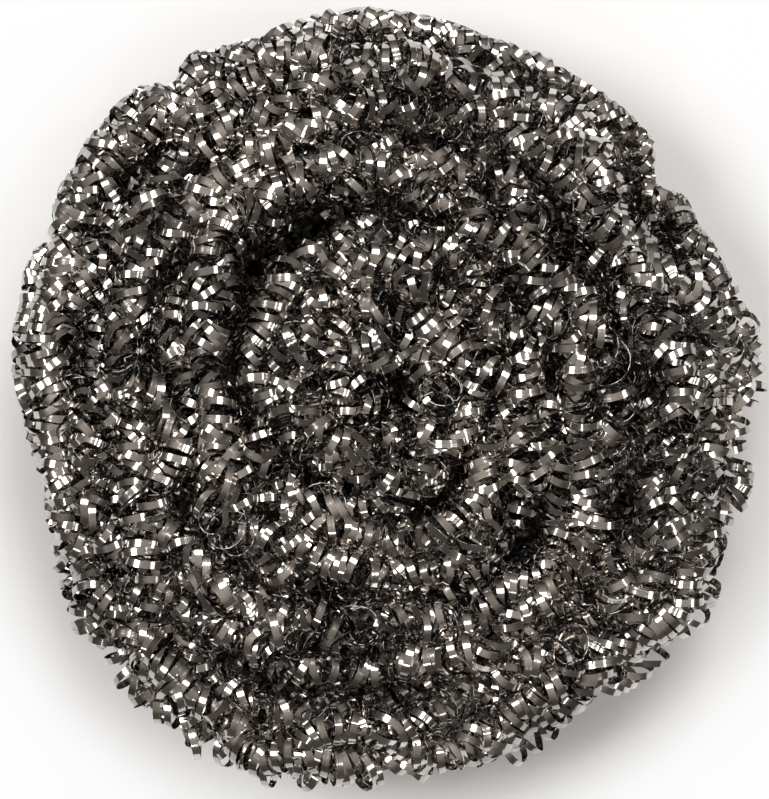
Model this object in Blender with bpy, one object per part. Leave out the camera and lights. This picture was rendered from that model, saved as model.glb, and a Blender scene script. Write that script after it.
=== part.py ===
"""Stainless steel scrubber: one flat steel ribbon, curled into a coil, and the coil wound into a bun.

The coil runs round the bun three times over, as three flat spirals stacked on each other: out along the
bottom, up at the rim, in along the middle, up at the eye, and out again along the top. Lengths are in metres.
"""

import math
import random

import bpy

# The bun
PLAN_RADIUS = 0.0519
EYE_RADIUS = 0.0010
DOME_DROP = 0.16
EDGE_TUCK = 0.13
EYE_SHIFT = (-0.0013, 0.0037)
# Lobes of the outline: how many round the bun, their height as a share of the radius, and their phase
LOBES = (
    (2, 0.0274, math.radians(157)),
    (3, 0.0205, math.radians(-9)),
    (4, 0.0129, math.radians(117)),
    (5, 0.0053, math.radians(-126)),
    (7, 0.0058, math.radians(-118)),
    (9, 0.0063, math.radians(-74)),
)

# The coil
COIL_WIDTH = 0.0100
COIL_HEIGHT = 0.0106
COIL_CLEARANCE = 0.0004
SKIN_LOOP_PITCH = 0.0090
CORE_LOOP_PITCH = 0.0140
CORNERS_PER_LOOP = 7
SMALLEST_LOOP = 0.93
LEAN_SHARE = 0.18
FLOOR_PRESS = 0.0005

# The ribbon
RIBBON_WIDTH = 0.0042
RIBBON_THICKNESS = 0.00022

STEEL_COLOUR = (0.62, 0.60, 0.57, 1.0)
STEEL_ROUGHNESS = 0.28
SEED = 7

FULL_TURN = 2 * math.pi
RISE_ANGLE = math.radians(90)
# Where the top spiral starts at the eye. The coil runs clockwise from there, seen from above.
TOP_START_ANGLE = math.radians(60)

TURN_PITCH = COIL_WIDTH + COIL_CLEARANCE
LAYER_PITCH = COIL_HEIGHT + COIL_CLEARANCE
EYE_PATH_RADIUS = EYE_RADIUS + COIL_WIDTH / 2
RIM_PATH_RADIUS = PLAN_RADIUS - COIL_WIDTH / 2
# A loop has a flat facet at its foot, and the bottom spiral sits low enough to press that facet on the floor.
BOTTOM_PATH_HEIGHT = COIL_HEIGHT / 2 * math.cos(math.pi / CORNERS_PER_LOOP) - FLOOR_PRESS
MIDDLE_PATH_HEIGHT = BOTTOM_PATH_HEIGHT + LAYER_PITCH
TOP_PATH_HEIGHT = MIDDLE_PATH_HEIGHT + LAYER_PITCH


class Stage:
    """A stretch of the coil's path round the bun: a spiral that can climb on its way."""

    def __init__(self, radii, heights, angle):
        self.start_radius, self.end_radius = radii
        self.start_height, self.end_height = heights
        self.angle = angle
        self.length = angle * (self.start_radius + self.end_radius) / 2

    def share_at(self, distance):
        """How far round the stage a distance along it reaches, from 0 to 1."""
        per_angle = distance / self.angle
        growth = self.end_radius - self.start_radius
        radius_there = math.sqrt(self.start_radius**2 + 2 * growth * per_angle)
        return 2 * per_angle / (self.start_radius + radius_there)


def spiral_angle(radii):
    """The angle that a flat spiral needs to go from one radius to the other."""
    return FULL_TURN * abs(radii[1] - radii[0]) / TURN_PITCH


def coil_stages():
    """The stretches of the coil's path, from the bottom eye to the free end at the top."""
    out = (EYE_PATH_RADIUS, RIM_PATH_RADIUS)
    rim = (RIM_PATH_RADIUS, RIM_PATH_RADIUS)
    back = (RIM_PATH_RADIUS, EYE_PATH_RADIUS)
    eye = (EYE_PATH_RADIUS, EYE_PATH_RADIUS)
    low, middle, top = BOTTOM_PATH_HEIGHT, MIDDLE_PATH_HEIGHT, TOP_PATH_HEIGHT
    return [
        Stage(out, (low, low), spiral_angle(out)),
        Stage(rim, (low, middle), RISE_ANGLE),
        Stage(back, (middle, middle), spiral_angle(back)),
        Stage(eye, (middle, top), RISE_ANGLE),
        Stage(out, (top, top), spiral_angle(out)),
    ]


def path_at(stages, distance):
    """(angle round the bun, radius, height) of the coil's path at a distance along it."""
    angle = TOP_START_ANGLE + sum(stage.angle for stage in stages[:-1])
    for stage in stages:
        if distance <= stage.length or stage is stages[-1]:
            break
        distance -= stage.length
        angle -= stage.angle
    share = stage.share_at(distance)
    climb = share * share * (3 - 2 * share)
    return (
        angle - stage.angle * share,
        stage.start_radius + (stage.end_radius - stage.start_radius) * share,
        stage.start_height + (stage.end_height - stage.start_height) * climb,
    )


def loop_pitch(radius, height):
    """The coil is drawn out where other turns hide it, inside the middle spiral."""
    hidden = abs(height - MIDDLE_PATH_HEIGHT) < COIL_CLEARANCE and radius < RIM_PATH_RADIUS - TURN_PITCH
    return CORE_LOOP_PITCH if hidden else SKIN_LOOP_PITCH


def corner_stations(stages):
    """The distance along the path, and the loop pitch there, of each corner of the curled ribbon."""
    total = sum(stage.length for stage in stages)
    stations = []
    distance = 0.0
    while distance < total:
        _, radius, height = path_at(stages, distance)
        pitch = loop_pitch(radius, height)
        stations.append((distance, pitch))
        distance += pitch / CORNERS_PER_LOOP
    return stations


def blended(values, position):
    """The value at a loop count that lies between two loops."""
    index = int(position)
    share = position - index
    return values[index] * (1 - share) + values[index + 1] * share


def lobed_radius(angle):
    """The outline's radius at an angle, as a multiple of the plain circle's."""
    return 1 + sum(height * math.cos(count * angle + phase) for count, height, phase in LOBES)


def bun_shape(angle, radius, height):
    """Carries a point from a stack of flat, round spirals to the domed, lobed bun with its eye off centre."""
    share = radius / PLAN_RADIUS
    off_middle = height / MIDDLE_PATH_HEIGHT - 1
    scale = lobed_radius(angle) * (1 - EDGE_TUCK * (off_middle * share) ** 2)
    shift = 1 - share * share
    x = radius * scale * math.cos(angle) + EYE_SHIFT[0] * shift
    y = radius * scale * math.sin(angle) + EYE_SHIFT[1] * shift
    return x, y, max(height, 0.0) * (1 - DOME_DROP * share * share)


def ribbon_corners():
    """Pairs of points across the ribbon, one pair at each corner of each loop."""
    stages = coil_stages()
    stations = corner_stations(stages)
    dice = random.Random(SEED)
    loops = len(stations) // CORNERS_PER_LOOP + 2
    sizes = [dice.uniform(SMALLEST_LOOP, 1) for _ in range(loops)]
    leans = [dice.uniform(-LEAN_SHARE, LEAN_SHARE) for _ in range(loops)]
    foot = -math.pi / 2 - math.pi / CORNERS_PER_LOOP
    pairs = []
    for index, (distance, pitch) in enumerate(stations):
        count = index / CORNERS_PER_LOOP
        turn = foot + FULL_TURN * count
        size = blended(sizes, count)
        lean = blended(leans, count) * pitch * math.sin(turn)
        pair = []
        for side in (-1, 1):
            along = distance + lean + side * RIBBON_WIDTH / 2
            angle, radius, height = path_at(stages, max(along, 0.0))
            radius += size * COIL_WIDTH / 2 * math.cos(turn)
            height += size * COIL_HEIGHT / 2 * math.sin(turn)
            pair.append(bun_shape(angle, radius, height))
        pairs.append(pair)
    return pairs


def centred(pairs):
    """The same points with the origin below the middle of the bun, at its foot."""
    points = [point for pair in pairs for point in pair]
    lows = [min(point[axis] for point in points) for axis in range(3)]
    highs = [max(point[axis] for point in points) for axis in range(3)]
    middle = ((lows[0] + highs[0]) / 2, (lows[1] + highs[1]) / 2, lows[2])
    return [tuple(value - origin for value, origin in zip(point, middle)) for point in points]


def steel():
    """Bright stainless strip."""
    material = bpy.data.materials.new("stainless_ribbon")
    material.use_nodes = True
    shader = material.node_tree.nodes["Principled BSDF"]
    shader.inputs["Base Color"].default_value = STEEL_COLOUR
    shader.inputs["Metallic"].default_value = 1.0
    shader.inputs["Roughness"].default_value = STEEL_ROUGHNESS
    return material


def curled_ribbon():
    """The whole scrubber: the ribbon's outer face as a strip, given its thickness inwards."""
    points = centred(ribbon_corners())
    faces = [(i, i + 2, i + 3, i + 1) for i in range(0, len(points) - 2, 2)]
    mesh = bpy.data.meshes.new("coiled_ribbon")
    mesh.from_pydata(points, [], faces)
    mesh.materials.append(steel())
    mesh.shade_smooth()
    ribbon = bpy.data.objects.new("coiled_ribbon", mesh)
    bpy.context.scene.collection.objects.link(ribbon)
    thickness = ribbon.modifiers.new("thickness", "SOLIDIFY")
    thickness.thickness = RIBBON_THICKNESS
    thickness.offset = -1
    thickness.use_even_offset = True
    return ribbon


def clear_scene():
    """Removes what a new file holds."""
    for thing in list(bpy.data.objects):
        bpy.data.objects.remove(thing)


clear_scene()
curled_ribbon()
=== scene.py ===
"""The looks of the stainless steel scrubber: the fine ribbon loops, their steel, the light and the camera.

The model's thick loops show the route that the coil takes round the bun. Here six strands of fine coil
follow that route side by side, each one a continuous ribbon. Lengths are in metres.
"""

import math

import bpy
import numpy as np
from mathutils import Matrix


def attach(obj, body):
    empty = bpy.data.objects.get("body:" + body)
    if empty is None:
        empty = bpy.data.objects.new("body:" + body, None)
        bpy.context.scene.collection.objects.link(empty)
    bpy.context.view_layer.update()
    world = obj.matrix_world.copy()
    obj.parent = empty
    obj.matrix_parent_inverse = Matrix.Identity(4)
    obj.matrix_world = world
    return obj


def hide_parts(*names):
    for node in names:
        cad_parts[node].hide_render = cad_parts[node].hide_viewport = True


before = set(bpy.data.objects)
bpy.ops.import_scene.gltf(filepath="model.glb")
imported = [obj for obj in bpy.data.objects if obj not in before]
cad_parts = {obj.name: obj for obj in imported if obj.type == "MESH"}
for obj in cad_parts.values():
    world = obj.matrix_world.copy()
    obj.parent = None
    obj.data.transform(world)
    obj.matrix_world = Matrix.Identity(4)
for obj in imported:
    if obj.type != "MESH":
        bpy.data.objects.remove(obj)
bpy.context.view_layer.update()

# The shape of the bun, close to the model's, with a finer outline
PLAN_RADIUS = 0.0519
EYE_RADIUS = 0.0010
DOME_DROP = 0.16
EDGE_TUCK = 0.13
EYE_SHIFT = (-0.0013, 0.0037)
# Lobes of the outline: how many round the bun, their height as a share of the radius, and their phase
LOBES = (
    (2, 0.0319, math.radians(158)),
    (3, 0.0189, math.radians(-8)),
    (4, 0.0123, math.radians(136)),
    (5, 0.0150, math.radians(-45)),
    (6, 0.0090, math.radians(55)),
    (7, 0.0058, math.radians(-118)),
    (8, 0.0054, math.radians(-8)),
    (9, 0.0111, math.radians(-78)),
)
# Notches, steps and bulges of the outline: where they are, how far they reach round, and their rise
BUMPS = (
    (math.radians(2), math.radians(6), 0.010),
    (math.radians(92), math.radians(8), 0.012),
    (math.radians(31), math.radians(4), -0.008),
    (math.radians(40), math.radians(3), -0.060),
    (math.radians(66.5), math.radians(2), 0.008),
    (math.radians(119), math.radians(2), 0.018),
    (math.radians(122.8), math.radians(2.4), -0.045),
    (math.radians(152), math.radians(3), -0.030),
    (math.radians(165), math.radians(5), -0.015),
    (math.radians(252), math.radians(4), 0.010),
    (math.radians(280), math.radians(6), -0.012),
    (math.radians(332), math.radians(7), -0.004),
)
# The route of the bundle of strands: how far apart its turns lie, side by side and one over another,
# the angles over which it rises at the rim and at the eye, and where its top spiral starts
BUNDLE_WIDTH = 0.0104
BUNDLE_HEIGHT = 0.0110
RIM_RISE_ANGLE = math.radians(90)
EYE_RISE_ANGLE = math.radians(300)
TOP_START_ANGLE = math.radians(60)
ROUTE_STEP = 0.0005
FULL_TURN = 2 * math.pi

# The line down the middle of the bundle: its radii and the heights of its three layers
CORE_PATH_RADIUS = 0.0015
EYE_PATH_RADIUS = EYE_RADIUS + BUNDLE_WIDTH / 2
RIM_PATH_RADIUS = PLAN_RADIUS - BUNDLE_WIDTH / 2
LOW_PATH_HEIGHT = 0.0045
MIDDLE_PATH_HEIGHT = LOW_PATH_HEIGHT + BUNDLE_HEIGHT
TOP_PATH_HEIGHT = MIDDLE_PATH_HEIGHT + BUNDLE_HEIGHT
TOP_SKIN_HEIGHT = TOP_PATH_HEIGHT + BUNDLE_HEIGHT / 2
# The level at which the bun is widest
WIDEST_HEIGHT = 0.0190

# The strands in the bundle: the side and the level of each one's place in its section
STRANDS = {
    "strand_upper_inner": (-1, 1),
    "strand_upper_middle": (0, 1),
    "strand_upper_outer": (1, 1),
    "strand_lower_inner": (-1, -1),
    "strand_lower_middle": (0, -1),
    "strand_lower_outer": (1, -1),
}
# How far they lie to the sides, how far above or below, and how much further the middle ones
STRAND_SPREAD = 0.0025
STRAND_RISE = 0.0018
MIDDLE_RISE = 0.0018
# The bundle twists and wanders on its way, and each strand wanders in it. Runs are in steps of the route.
BUNDLE_ROLL = 0.35
ROLL_RUN = 80
BUNDLE_WANDER = 0.0008
BUNDLE_WANDER_RUN = 36
STRAND_WANDER = 0.0010
STRAND_WANDER_RUN = 13
# Past its limits a strand keeps this share of its way
SLACK = 0.2
# At the eye the top turn lies a little further out
EYE_OPENING = 0.0008
EYE_REACH = 0.0105
# Where the middle layer alone makes the rim, its turns lie further out
RIM_FILL = 0.0018
RIM_FILL_ANGLE = math.radians(2)
RIM_FILL_REACH = math.radians(42)
RIM_FILL_FROM = 0.038
RIM_FILL_RUN = 0.006
# How far inside the outline the loops are laid and pressed, and how softly the outline and floor press
RIM_MARGIN = 0.0026
RIM_REACH = 0.0040
RIM_SOFTNESS = 0.0004
FLOOR_SOFTNESS = 0.0003

# The pitch of the loops: tight where they show, drawn out inside, and stretched round the eye.
# Messy stretches of coil have a wider and a more uneven pitch.
TIGHT_PITCH = 0.00110
HIDDEN_PITCH = 0.0042
LEAST_PITCH = 0.00092
SKIN_DEPTH = 0.0050
PITCH_SWING = 0.42
PITCH_RUN = 8
PITCH_BASE = 0.86
PITCH_BY_MESS = 0.14
EYE_STRETCH = 0.7
EYE_STRETCH_REACH = 0.006
# How messy a stretch of coil is, from under 1, neat, to over 1. Runs are in steps of the route.
MESS_MIDDLE = 1.05
MESS_SWING = 0.35
MESS_STEEPNESS = 1.2
MESS_RUN = 34

# The loops. Runs are in loops, and each pair is a run and the spread of what it swings.
LOOP_RADIUS = 0.00245
SEGMENTS = 17
SLOW_LEAN = (6, 0.38)
QUICK_LEAN = (1.1, 0.42)
SLOW_SWING = (6, 0.48)
QUICK_SWING = (1.1, 0.50)
SHINGLE = 0.3
SHINGLE_DRIFT = (24, 1.5)
SIZE_DRIFT = (1.5, 0.08)
LARGE_LOOP_DRIFT = (2, 0.6)
LARGE_LOOP_FROM = 1.1
LARGE_LOOP_GAIN = 0.5
TWIST_DRIFT = (1, 0.22)
SLIP_DRIFT = (1.2, 0.00045)
# A few loops tip over flat, and lie on the others
TIPPED_DRIFT = (2.5, 1.0)
TIPPED_GAIN = 2
TIPPED_LIMIT = 4.2
TIPPED_OVER = 3.0
TIPPED_LIFT = 0.0018
# Loops at the rim lean less, and lie close
RIM_CALM = 0.65
RIM_CALM_FROM = 0.0410
RIM_CALM_RUN = 0.0030

# The ribbon
RIBBON_WIDTH = 0.00090
RIBBON_THICKNESS = 0.00007
CREASE_ANGLE = math.radians(50)
# Rows of the folded map, and where each of the ribbon's four sides starts and ends in a row
MAP_ROWS = 102
ROW_EDGES = (0, 0.4, 0.5, 0.9, 1.0)
# Where each side starts and ends across the unrolled map. What lies past EDGE_ACROSS is a cut edge.
ACROSS = (-0.5, 0.5, 0.5, -0.5, -0.5)
EDGE_ACROSS = 0.4995

# Each random curve draws this many knots, so that a longer coil doesn't change the draws that follow
DRIFT_KNOTS = 4000
SEED = 11

# The steel: patches and wider regions of darker and brighter strip
PATCH_SCALE = 260
PATCH_DETAIL = 3
PATCH_RANGE = (0.32, 0.68)
DARK_STEEL = (0.375, 0.348, 0.326, 1)
BRIGHT_STEEL = (0.64, 0.61, 0.575, 1)
REGION_SCALE = 75
REGION_DETAIL = 1
REGION_RANGE = (0.35, 0.65)
REGION_SHADES = (0.72, 1.22)
# Rolling lines along the strip, in its roughness and relief
LINE_STRETCH = (70, 4.5, 1)
LINE_DETAIL = 2
LINE_RANGE = (0.3, 0.7)
LINE_ROUGHNESS = (0.04, 0.22)
RELIEF_STRENGTH = 0.3
RELIEF_DEPTH = 0.00001
# The cut edges: painted dark, as painted shade in the gaps between the loops, with burred spots that are
# rougher and painted bright as painted sparkles
BURR_AND_SPARKLE_SCALE = 1500
BURR_AND_SPARKLE_RANGE = (0.53, 0.60)
EDGE_PAINTED_SHADE_AND_SPARKLE = (0.10, 0.95)
BURR_ROUGHNESS = (0.25, 0.75)

# The floor: it fades to white between two distances, by a share, as the camera and polished steel see it
FLOOR_REACH = 3.0
FLOOR_COLOUR = (0.95, 0.95, 0.95, 1)
FLOOR_ROUGHNESS = 0.9
WHITE_FROM = 0.049
WHITE_BEYOND = 0.063
WHITE_SHARE = 0.85

# The lamps: direction round and up in degrees, width of the disc, and power
LAMPS = {
    "key": (165, 56, 0.44, 4.0),
    "back": (75, 58, 0.42, 3.6),
    "right": (350, 48, 0.30, 1.2),
    "spark_front": (250, 52, 0.10, 0.35),
    "spark_side": (20, 64, 0.10, 0.35),
}
LAMP_DISTANCE = 1.0
# The surroundings, from the horizon to overhead
SKY_TILT = (0, 0.2, 0.98)
SKY_LOW_FROM = 0.45
SKY_LOW = (0.115, 0.105, 0.096, 1)
SKY_HIGH = (0.50, 0.455, 0.416, 1)

# The camera: the picture is as wide as VIEW_WIDTH at the height of VIEW_LEVEL
CAMERA_LENS = 150
SENSOR_WIDTH = 36
VIEW_WIDTH = 0.0980
VIEW_LEVEL = 0.012
VIEW_CENTRE = (-0.0009, -0.0003)


def drift(dice, count, run, spread):
    """A smooth random curve of `count` values through random knots, `run` values apart."""
    knots = dice.normal(0, spread, DRIFT_KNOTS)
    place = np.arange(count) / run
    index = place.astype(int)
    t = place - index
    a, b, c, d = (knots[index + step] for step in range(4))
    return b + 0.5 * t * (c - a + t * (2 * a - 5 * b + 4 * c - d + t * (3 * (b - c) + d - a)))


def held(values, least, most):
    """The values kept between two limits, with a share of what would pass them."""
    inside = np.clip(values, least, most)
    return inside + SLACK * (values - inside)


def unit(vectors):
    """The vectors at length 1."""
    return vectors / np.linalg.norm(vectors, axis=1)[:, None]


def spiral(start, end, low, high, angle):
    """(angle, radius, height) of a stretch of the route, at steps of ROUTE_STEP along it.

    It goes from the start radius to the end radius over the angle, and climbs early.
    """
    length = angle * (start + end) / 2
    steps = max(int(length / ROUTE_STEP), 2)
    per_angle = np.arange(steps) * length / steps / angle
    share = 2 * per_angle / (start + np.sqrt(start**2 + 2 * (end - start) * per_angle))
    climb = 1 - (1 - share) ** 3
    return angle * share, start + (end - start) * share, low + (high - low) * climb


def bundle_route():
    """(angle, radius, height) along the route, clockwise: out, up the rim, in, up the eye, and out.

    Each stage has the radii and the heights at its two ends, and its angle.
    """
    eye, core, rim = EYE_PATH_RADIUS, CORE_PATH_RADIUS, RIM_PATH_RADIUS
    low, middle, top = LOW_PATH_HEIGHT, MIDDLE_PATH_HEIGHT, TOP_PATH_HEIGHT
    stages = (
        (core, rim, low, low, FULL_TURN * (rim - core) / BUNDLE_WIDTH),
        (rim, rim, low, middle, RIM_RISE_ANGLE),
        (rim, core, middle, middle, FULL_TURN * (rim - core) / BUNDLE_WIDTH),
        (core, eye, middle, top, EYE_RISE_ANGLE),
        (eye, rim, top, top, FULL_TURN * (rim - eye) / BUNDLE_WIDTH),
    )
    angle_left = TOP_START_ANGLE + sum(stage[-1] for stage in stages[:-1])
    angles, radii, heights = [], [], []
    for stage in stages:
        angle, radius, height = spiral(*stage)
        angles.append(angle_left - angle)
        radii.append(radius)
        heights.append(height)
        angle_left -= stage[-1]
    return np.concatenate(angles), np.concatenate(radii), np.concatenate(heights)


def turned_off(angle, place):
    """How far each angle is from a place, the short way round."""
    return (angle - place + math.pi) % FULL_TURN - math.pi


def lobed(angle):
    """The outline's radius at each angle, as a multiple of the plain circle's."""
    scale = 1 + sum(rise * np.cos(count * angle + phase) for count, rise, phase in LOBES)
    for place, reach, rise in BUMPS:
        scale = scale + rise * np.exp(-(turned_off(angle, place) / reach) ** 2)
    return scale


def bun_shape(angle, radius, height):
    """Carries points from a stack of flat, round spirals to the domed, lobed bun and its eye."""
    share = radius / PLAN_RADIUS
    off_widest = (height - WIDEST_HEIGHT) / MIDDLE_PATH_HEIGHT
    scale = lobed(angle) * (1 - EDGE_TUCK * (off_widest * share) ** 2)
    shift = 1 - share * share
    x = radius * scale * np.cos(angle) + EYE_SHIFT[0] * shift
    y = radius * scale * np.sin(angle) + EYE_SHIFT[1] * shift
    return np.stack([x, y, height * (1 - DOME_DROP * share * share)], axis=1)


def loop_pitch(radius, height, mess, swing):
    """The pitch of the loops along a strand."""
    depth = np.minimum(height, TOP_SKIN_HEIGHT - height)
    depth = np.minimum(depth, PLAN_RADIUS - radius)
    hidden = np.clip((depth - SKIN_DEPTH) / SKIN_DEPTH, 0, 1)
    pitch = TIGHT_PITCH + (HIDDEN_PITCH - TIGHT_PITCH) * hidden
    pitch = pitch * (PITCH_BASE + PITCH_BY_MESS * mess) * swing
    pitch = np.maximum(pitch, LEAST_PITCH)
    return pitch * (1 + EYE_STRETCH * np.exp(-(radius / EYE_STRETCH_REACH) ** 2))


def strand_axis(side, level, bundle, dice):
    """Points down the middle of one strand's coil, and the pitch that its loops have there."""
    angle, radius, height = bundle_route()
    count = len(angle)
    roll, outward, upward = bundle
    rise = level * (STRAND_RISE + MIDDLE_RISE * (1 - abs(side)))
    across = side * STRAND_SPREAD * np.cos(roll) - rise * np.sin(roll)
    above = rise * np.cos(roll) + side * STRAND_SPREAD * np.sin(roll)
    radius = radius + across + outward + drift(dice, count, STRAND_WANDER_RUN, STRAND_WANDER)
    height = height + above + upward + drift(dice, count, STRAND_WANDER_RUN, STRAND_WANDER)
    near_rim = np.clip((radius - RIM_FILL_FROM) / RIM_FILL_RUN, 0, 1)
    radius += RIM_FILL * np.exp(-(turned_off(angle, RIM_FILL_ANGLE) / RIM_FILL_REACH) ** 2) * near_rim
    near_top = np.clip(height / TOP_PATH_HEIGHT * 2 - 1, 0, 1)
    radius += EYE_OPENING * np.exp(-(radius / EYE_REACH) ** 4) * near_top
    radius = held(radius, EYE_RADIUS, PLAN_RADIUS - RIM_MARGIN - LOOP_RADIUS)
    height = held(height, LOOP_RADIUS, TOP_SKIN_HEIGHT - LOOP_RADIUS)
    mess = MESS_MIDDLE + MESS_SWING * np.tanh(drift(dice, count, MESS_RUN, MESS_STEEPNESS))
    swing = np.exp(mess * drift(dice, count, PITCH_RUN, PITCH_SWING))
    return bun_shape(angle, radius, height), loop_pitch(radius, height, mess, swing), mess


def coil_centreline(side, level, bundle, dice):
    """For each corner of the ribbon: the loop's centre, its forward direction, its mess, and its turn."""
    points, pitch, mess = strand_axis(side, level, bundle, dice)
    steps = np.linalg.norm(np.diff(points, axis=0), axis=1)
    turns = np.concatenate([[0], np.cumsum(steps / pitch[1:])])
    wanted = np.arange(0, turns[-1], 1 / SEGMENTS)
    centre = np.stack([np.interp(wanted, turns, points[:, axis]) for axis in range(3)], axis=1)
    forward = np.gradient(points, axis=0)
    forward = np.stack([np.interp(wanted, turns, forward[:, axis]) for axis in range(3)], axis=1)
    return centre, unit(forward), np.interp(wanted, turns, mess), wanted


def swings(dice, count, run_and_spread):
    """A smooth random curve along the ribbon, whose run is in loops."""
    run, spread = run_and_spread
    return drift(dice, count, run * SEGMENTS, spread)


def leanings(dice, count, mess):
    """How far the loops lean up or down, how far they swing sideways, and which are tipped over."""
    lean = mess * (swings(dice, count, SLOW_LEAN) + swings(dice, count, QUICK_LEAN))
    swing = mess * (swings(dice, count, SLOW_SWING) + swings(dice, count, QUICK_SWING))
    tipped = np.clip(TIPPED_GAIN * swings(dice, count, TIPPED_DRIFT) - TIPPED_LIMIT, 0, 1)
    lean += TIPPED_OVER * tipped
    lean += SHINGLE * np.tanh(swings(dice, count, SHINGLE_DRIFT))
    swing += SHINGLE * np.tanh(swings(dice, count, SHINGLE_DRIFT))
    return lean, swing, tipped


def rim_calm(centre):
    """The share of its lean that a loop keeps, less near the rim."""
    reach = np.hypot(centre[:, 0], centre[:, 1]) / lobed(np.arctan2(centre[:, 1], centre[:, 0]))
    return 1 - RIM_CALM * np.clip((reach - RIM_CALM_FROM) / RIM_CALM_RUN, 0, 1)


def loop_sizes(dice, count):
    """The size of the loops, around 1, a few of them large."""
    size = 1 + swings(dice, count, SIZE_DRIFT)
    large = np.maximum(swings(dice, count, LARGE_LOOP_DRIFT) - LARGE_LOOP_FROM, 0)
    return size + LARGE_LOOP_GAIN * large


def ribbon_frames(side, level, bundle, dice):
    """The ribbon's midline, the direction across its width, and the direction out of its face."""
    centre, forward, mess, turns = coil_centreline(side, level, bundle, dice)
    count = len(turns)
    sideways = unit(np.cross(forward, (0, 0, 1)))
    upward = np.cross(sideways, forward)
    lean, swing, tipped = leanings(dice, count, mess)
    centre = centre + (TIPPED_LIFT * tipped)[:, None] * upward
    lean *= rim_calm(centre)
    axis = unit(forward + lean[:, None] * upward + swing[:, None] * sideways)
    first = unit(sideways - np.sum(sideways * axis, axis=1)[:, None] * axis)
    second = np.cross(axis, first)
    turn = FULL_TURN * turns[:, None]
    out = np.cos(turn) * first + np.sin(turn) * second
    size = loop_sizes(dice, count)
    slip = np.stack([swings(dice, count, SLIP_DRIFT) for _ in range(3)], axis=1)
    midline = centre + mess[:, None] * slip + LOOP_RADIUS * size[:, None] * out
    twist = (mess * swings(dice, count, TWIST_DRIFT))[:, None]
    width = np.cos(twist) * axis + np.sin(twist) * out
    face = np.cos(twist) * out - np.sin(twist) * axis
    return midline, width, face


def on_floor(points):
    """Presses what would lie below the floor into a thin layer just above it."""
    low = points[:, 2] < FLOOR_SOFTNESS
    pressed = FLOOR_SOFTNESS * np.exp(points[low, 2] / FLOOR_SOFTNESS - 1)
    points[low, 2] = pressed
    return points


def in_outline(points):
    """Presses what would stand out past the bun's outline into a thin layer just outside it."""
    reach = np.hypot(points[:, 0], points[:, 1])
    limit = lobed(np.arctan2(points[:, 1], points[:, 0])) * (PLAN_RADIUS - RIM_REACH)
    past = np.maximum(reach - limit, 0)
    pressed = RIM_SOFTNESS * (1 - np.exp(-past / RIM_SOFTNESS))
    points[:, :2] *= ((reach - past + pressed) / reach)[:, None]
    return points


def ribbon_points(midline, width, face):
    """The four corners of the ribbon's section at each point of its midline."""
    midline = in_outline(midline)
    half_width = width * RIBBON_WIDTH / 2
    half_thick = face * RIBBON_THICKNESS / 2
    outer = (half_thick - half_width, half_thick + half_width)
    inner = (half_width - half_thick, -half_width - half_thick)
    return on_floor(np.stack([midline + corner for corner in outer + inner], axis=1).reshape(-1, 3))


def strip_maps(mesh, lengths):
    """Two maps of the ribbon: one unrolled at true size, and one folded into rows that fill a square."""
    along = np.arange(lengths)[:, None, None] + np.array([0, 0, 1, 1])
    sides = np.arange(4)[None, :, None] + np.array([0, 1, 1, 0])
    distance = along * LOOP_RADIUS * FULL_TURN / SEGMENTS
    unrolled = np.stack(np.broadcast_arrays(distance, np.array(ACROSS)[sides]), axis=-1)
    row_length = math.ceil(lengths / MAP_ROWS)
    row = np.arange(lengths)[:, None, None] // row_length
    in_row = (along - row * row_length) / row_length + 0 * sides
    folded = np.stack([in_row, (row + np.array(ROW_EDGES)[sides]) / MAP_ROWS], axis=-1)
    for name, places in (("OFBake", folded), ("unrolled", unrolled)):
        # The two end caps, of four corners each, take one point of the map
        ends = np.zeros((8, 2)) + places.reshape(-1, 2)[0]
        flat = np.concatenate([places.reshape(-1, 2), ends])
        mesh.uv_layers.new(name=name).uv.foreach_set("vector", flat.astype(np.float32).ravel())


def ribbon_mesh(name, points):
    """A closed ribbon over the corners of its sections."""
    starts = np.arange(len(points) // 4 - 1)[:, None] * 4
    sides = np.arange(4)[None, :]
    after = (sides + 1) % 4
    quads = np.stack([starts + sides, starts + after, starts + after + 4, starts + sides + 4], axis=2)
    quads = quads.reshape(-1, 4)
    lengths = len(starts)
    last = len(points) - 4
    caps = np.array([[3, 2, 1, 0], [last, last + 1, last + 2, last + 3]])
    quads = np.concatenate([quads, caps])
    mesh = bpy.data.meshes.new(name)
    mesh.vertices.add(len(points))
    mesh.vertices.foreach_set("co", points.ravel())
    mesh.loops.add(quads.size)
    mesh.loops.foreach_set("vertex_index", quads.ravel())
    mesh.polygons.add(len(quads))
    mesh.polygons.foreach_set("loop_start", np.arange(len(quads)) * 4)
    mesh.update(calc_edges=True)
    strip_maps(mesh, lengths)
    mesh.shade_smooth()
    mesh.set_sharp_from_angle(angle=CREASE_ANGLE)
    return mesh


def noise(tree, place, scale, detail):
    """Smooth noise over a place."""
    node = tree.nodes.new("ShaderNodeTexNoise")
    node.inputs["Scale"].default_value = scale
    node.inputs["Detail"].default_value = detail
    tree.links.new(place, node.inputs["Vector"])
    return node.outputs["Fac"]


def ranged(tree, value, known, wanted):
    """A value carried from one range to another."""
    node = tree.nodes.new("ShaderNodeMapRange")
    node.inputs["From Min"].default_value, node.inputs["From Max"].default_value = known
    node.inputs["To Min"].default_value, node.inputs["To Max"].default_value = wanted
    tree.links.new(value, node.inputs["Value"])
    return node.outputs["Result"]


def mixed(tree, kind, share, first, second):
    """Two numbers or colours mixed by a share."""
    node = tree.nodes.new("ShaderNodeMix")
    node.data_type = kind
    tree.links.new(share, node.inputs["Factor"])
    tree.links.new(first, node.inputs["A"])
    tree.links.new(second, node.inputs["B"])
    return node.outputs["Result"]


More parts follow.
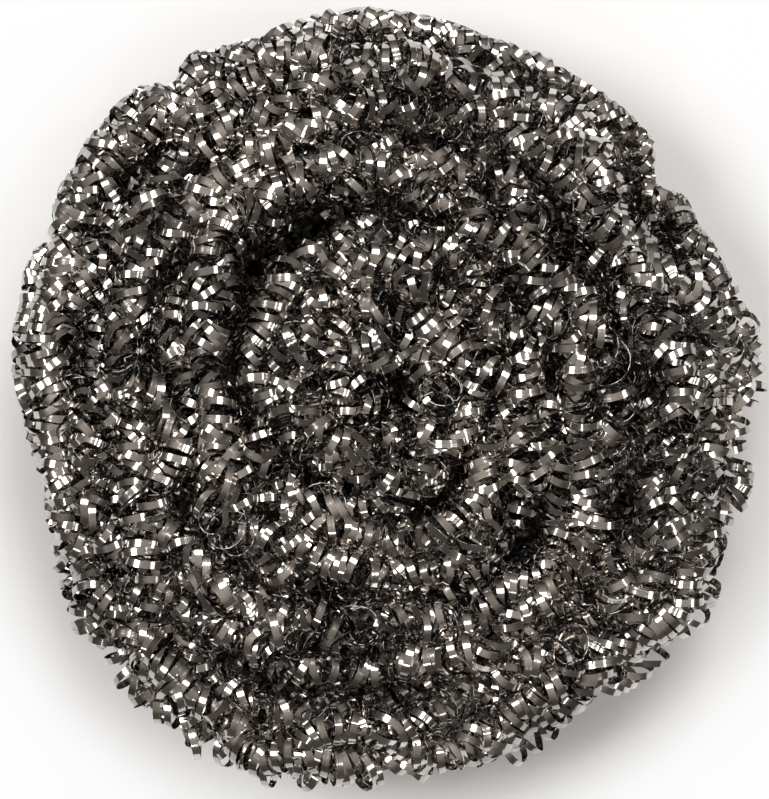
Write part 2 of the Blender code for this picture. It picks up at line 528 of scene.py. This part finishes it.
def strip_colour(tree, place):
    """Patches of darker and brighter steel, in wider regions of the same."""
    tone = tree.nodes.new("ShaderNodeValToRGB")
    for element, position, colour in zip(tone.color_ramp.elements, PATCH_RANGE, (DARK_STEEL, BRIGHT_STEEL)):
        element.position = position
        element.color = colour
    tree.links.new(noise(tree, place, PATCH_SCALE, PATCH_DETAIL), tone.inputs["Fac"])
    shade = ranged(tree, noise(tree, place, REGION_SCALE, REGION_DETAIL), REGION_RANGE, REGION_SHADES)
    shaded = tree.nodes.new("ShaderNodeVectorMath")
    shaded.operation = "SCALE"
    tree.links.new(tone.outputs["Color"], shaded.inputs[0])
    tree.links.new(shade, shaded.inputs["Scale"])
    return shaded.outputs["Vector"]


def rolling_lines(tree, strip):
    """Fine lines along the unrolled strip."""
    drawn = tree.nodes.new("ShaderNodeMapping")
    drawn.inputs["Scale"].default_value = LINE_STRETCH
    tree.links.new(strip, drawn.inputs["Vector"])
    return noise(tree, drawn.outputs["Vector"], 1, LINE_DETAIL)


def cut_edges(tree, strip):
    """1 on the ribbon's cut edges, and 0 on its faces."""
    split = tree.nodes.new("ShaderNodeSeparateXYZ")
    tree.links.new(strip, split.inputs["Vector"])
    off_line = tree.nodes.new("ShaderNodeMath")
    off_line.operation = "ABSOLUTE"
    tree.links.new(split.outputs["Y"], off_line.inputs[0])
    edge = tree.nodes.new("ShaderNodeMath")
    edge.operation = "GREATER_THAN"
    edge.inputs[1].default_value = EDGE_ACROSS
    tree.links.new(off_line.outputs["Value"], edge.inputs[0])
    return edge.outputs["Value"]


def steel():
    """Bright rolled strip, with patches, rolling lines along it, and cut edges painted dark as painted
    shade, with rougher burred spots painted bright as painted sparkles.
    """
    material = bpy.data.materials.new("stainless_strip")
    material.use_nodes = True
    tree = material.node_tree
    shader = tree.nodes["Principled BSDF"]
    shader.inputs["Metallic"].default_value = 1.0
    place = tree.nodes.new("ShaderNodeTexCoord").outputs["Object"]
    strip = tree.nodes.new("ShaderNodeUVMap")
    strip.uv_map = "unrolled"
    edge = cut_edges(tree, strip.outputs["UV"])
    lines = rolling_lines(tree, strip.outputs["UV"])
    burr_and_sparkle_noise = noise(tree, place, BURR_AND_SPARKLE_SCALE, 0)
    # The cut edges take a painted colour: dark as painted shade in the gaps between the loops, with bright
    # spots as painted sparkles. The same spots are rougher, as burrs.
    painted_edge_shade_and_sparkle = ranged(tree, burr_and_sparkle_noise, BURR_AND_SPARKLE_RANGE, EDGE_PAINTED_SHADE_AND_SPARKLE)
    colour = mixed(tree, "RGBA", edge, strip_colour(tree, place), painted_edge_shade_and_sparkle)
    tree.links.new(colour, shader.inputs["Base Color"])
    line_roughness = ranged(tree, lines, LINE_RANGE, LINE_ROUGHNESS)
    burr_roughness = ranged(tree, burr_and_sparkle_noise, BURR_AND_SPARKLE_RANGE, BURR_ROUGHNESS)
    roughness = mixed(tree, "FLOAT", edge, line_roughness, burr_roughness)
    tree.links.new(roughness, shader.inputs["Roughness"])
    relief = tree.nodes.new("ShaderNodeBump")
    relief.inputs["Strength"].default_value = RELIEF_STRENGTH
    relief.inputs["Distance"].default_value = RELIEF_DEPTH
    tree.links.new(lines, relief.inputs["Height"])
    tree.links.new(relief.outputs["Normal"], shader.inputs["Normal"])
    return material


def bundle_drift(dice):
    """How the bundle twists, and how it wanders outward and upward, along its route."""
    count = len(bundle_route()[0])
    roll = drift(dice, count, ROLL_RUN, BUNDLE_ROLL)
    outward = drift(dice, count, BUNDLE_WANDER_RUN, BUNDLE_WANDER)
    upward = drift(dice, count, BUNDLE_WANDER_RUN, BUNDLE_WANDER)
    return roll, outward, upward


def strands():
    """The six strands of fine coil, in place of the model's thick loops, centred where they are."""
    material = steel()
    dice = np.random.default_rng(SEED)
    bundle = bundle_drift(dice)
    ribbons = {name: ribbon_points(*ribbon_frames(*place, bundle, dice)) for name, place in STRANDS.items()}
    lowest = np.min([points.min(axis=0) for points in ribbons.values()], axis=0)
    highest = np.max([points.max(axis=0) for points in ribbons.values()], axis=0)
    off_centre = (lowest + highest) / 2 * (1, 1, 0)
    for name, points in ribbons.items():
        mesh = ribbon_mesh(name, points - off_centre)
        mesh.materials.append(material)
        strand = bpy.data.objects.new(name, mesh)
        bpy.context.scene.collection.objects.link(strand)
        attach(strand, "root")
        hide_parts("coiled_ribbon")


def whiten(material):
    """Fades the floor to white away from the object, as the camera and polished steel see it."""
    nodes = material.node_tree.nodes
    links = material.node_tree.links
    rays = nodes.new("ShaderNodeLightPath")
    seen = nodes.new("ShaderNodeMath")
    links.new(rays.outputs["Is Camera Ray"], seen.inputs[0])
    links.new(rays.outputs["Is Glossy Ray"], seen.inputs[1])
    seen_through = nodes.new("ShaderNodeMath")
    links.new(seen.outputs["Value"], seen_through.inputs[0])
    links.new(rays.outputs["Is Transmission Ray"], seen_through.inputs[1])
    place = nodes.new("ShaderNodeNewGeometry")
    distance = nodes.new("ShaderNodeVectorMath")
    distance.operation = "LENGTH"
    links.new(place.outputs["Position"], distance.inputs[0])
    fade = nodes.new("ShaderNodeMapRange")
    fade.interpolation_type = "SMOOTHSTEP"
    fade.inputs["From Min"].default_value = WHITE_FROM
    fade.inputs["From Max"].default_value = WHITE_BEYOND
    fade.inputs["To Max"].default_value = WHITE_SHARE
    links.new(distance.outputs["Value"], fade.inputs["Value"])
    share = nodes.new("ShaderNodeMath")
    share.operation = "MULTIPLY"
    links.new(seen_through.outputs["Value"], share.inputs[0])
    links.new(fade.outputs["Result"], share.inputs[1])
    white = nodes.new("ShaderNodeEmission")
    mix = nodes.new("ShaderNodeMixShader")
    links.new(share.outputs["Value"], mix.inputs["Fac"])
    links.new(nodes["Principled BSDF"].outputs["BSDF"], mix.inputs[1])
    links.new(white.outputs["Emission"], mix.inputs[2])
    links.new(mix.outputs["Shader"], nodes["Material Output"].inputs["Surface"])


def floor():
    """A plain white floor."""
    mesh = bpy.data.meshes.new("floor")
    corners = [(-1, -1), (1, -1), (1, 1), (-1, 1)]
    mesh.from_pydata([(x * FLOOR_REACH, y * FLOOR_REACH, 0) for x, y in corners], [], [(0, 1, 2, 3)])
    material = bpy.data.materials.new("floor_white")
    material.use_nodes = True
    shader = material.node_tree.nodes["Principled BSDF"]
    shader.inputs["Base Color"].default_value = FLOOR_COLOUR
    shader.inputs["Roughness"].default_value = FLOOR_ROUGHNESS
    whiten(material)
    mesh.materials.append(material)
    plane = bpy.data.objects.new("floor", mesh)
    bpy.context.scene.collection.objects.link(plane)


def lamp(name, azimuth, elevation, size, power):
    """A round soft box that points at the object from a direction."""
    light = bpy.data.lights.new(name, "AREA")
    light.shape = "DISK"
    light.size = size
    light.energy = power
    thing = bpy.data.objects.new(name, light)
    a, e = math.radians(azimuth), math.radians(elevation)
    thing.location = (
        LAMP_DISTANCE * math.cos(e) * math.cos(a),
        LAMP_DISTANCE * math.cos(e) * math.sin(a),
        LAMP_DISTANCE * math.sin(e),
    )
    thing.rotation_euler = (math.pi / 2 - e, 0, a + math.pi / 2)
    bpy.context.scene.collection.objects.link(thing)


def surroundings():
    """A dim sky, paler towards the top."""
    world = bpy.data.worlds.new("studio")
    bpy.context.scene.world = world
    world.use_nodes = True
    nodes = world.node_tree.nodes
    links = world.node_tree.links
    direction = nodes.new("ShaderNodeTexCoord")
    height = nodes.new("ShaderNodeVectorMath")
    height.operation = "DOT_PRODUCT"
    height.inputs[1].default_value = SKY_TILT
    links.new(direction.outputs["Generated"], height.inputs[0])
    sky = nodes.new("ShaderNodeValToRGB")
    sky.color_ramp.elements[0].position = SKY_LOW_FROM
    sky.color_ramp.elements[0].color = SKY_LOW
    sky.color_ramp.elements[1].position = 1.0
    sky.color_ramp.elements[1].color = SKY_HIGH
    links.new(height.outputs["Value"], sky.inputs["Fac"])
    links.new(sky.outputs["Color"], nodes["Background"].inputs["Color"])


def lights():
    """Two large lamps, a weaker one, two small ones for the sparks, and the surroundings."""
    for name, settings in LAMPS.items():
        lamp(name, *settings)
    surroundings()


def camera():
    """Straight above the object, as in the photo."""
    data = bpy.data.cameras.new("camera")
    data.lens = CAMERA_LENS
    data.sensor_width = SENSOR_WIDTH
    data.sensor_fit = "HORIZONTAL"
    thing = bpy.data.objects.new("camera", data)
    thing.location = (*VIEW_CENTRE, VIEW_LEVEL + VIEW_WIDTH * CAMERA_LENS / SENSOR_WIDTH)
    bpy.context.scene.collection.objects.link(thing)
    bpy.context.scene.camera = thing


strands()
floor()
lights()
camera()
bpy.context.scene.view_settings.view_transform = "Standard"
